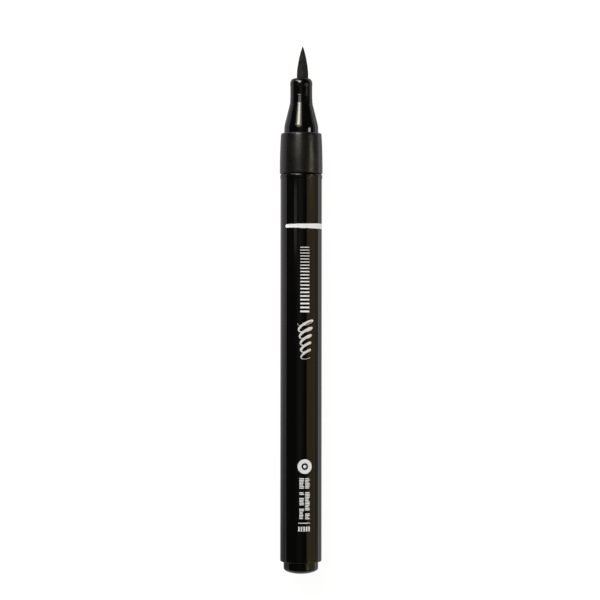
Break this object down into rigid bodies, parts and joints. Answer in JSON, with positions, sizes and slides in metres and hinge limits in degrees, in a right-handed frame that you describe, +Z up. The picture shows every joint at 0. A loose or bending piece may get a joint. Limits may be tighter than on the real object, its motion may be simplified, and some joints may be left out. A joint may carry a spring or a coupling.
{
  "type": "brush pen",
  "caption": "Uncapped capillary brush pen: glossy tube barrel, satin collar, tapered nose, pointed fibre brush tip, fibre ink reservoir and a domed tail plug.",
  "frame": {"origin": "on the surface that the pen lies on, under the middle of its length", "axes": "+X along the pen towards the domed tail, so the brush tip points towards -X; +Z up, towards the side that carries the printing; +Y to the printing's own top. The pen's centreline runs parallel to X, 5.66 mm above the origin"},
  "size_m": [0.14, 0.0114, 0.0113],
  "materials": {
    "gloss_shell": "polished black moulding",
    "satin_shell": "fine spark-eroded satin black",
    "inked_fibre": "bonded fibre soaked with black ink",
    "reservoir_fibre": "polyester fibre bundle soaked with black ink",
    "reservoir_film": "clear film",
    "natural_plastic": "uncoloured polypropylene"
  },
  "bodies": {
    "barrel_body": {"barrel": "gloss_shell", "reservoir_core": "reservoir_fibre", "reservoir_wrap": "reservoir_film"},
    "rear_plug": {"tail_plug": "gloss_shell"},
    "front_section": {"collar": "satin_shell", "nose_cone": "gloss_shell", "nib_sleeve": "natural_plastic", "relay_core": "inked_fibre"},
    "nib": {"nib_stem": "inked_fibre"},
    "nib_tip": {"brush_tip": "inked_fibre"}
  },
  "joints": [
    {"name": "section_pull", "type": "slide", "parent": "barrel_body", "child": "front_section", "axis": [-1, 0, 0], "range_m": [0, 0.018]},
    {"name": "plug_pull", "type": "slide", "parent": "barrel_body", "child": "rear_plug", "axis": [1, 0, 0], "range_m": [0, 0.012]},
    {"name": "nib_pull", "type": "slide", "parent": "front_section", "child": "nib", "axis": [-1, 0, 0], "range_m": [0, 0.02]},
    {"name": "brush_flex", "type": "hinge", "parent": "nib", "child": "nib_tip", "pos_m": [-0.061, 0, 0.00566], "axis": [0, 0, 1], "range_deg": [-25, 25], "stiffness_Nm_per_rad": 0.008}
  ]
}
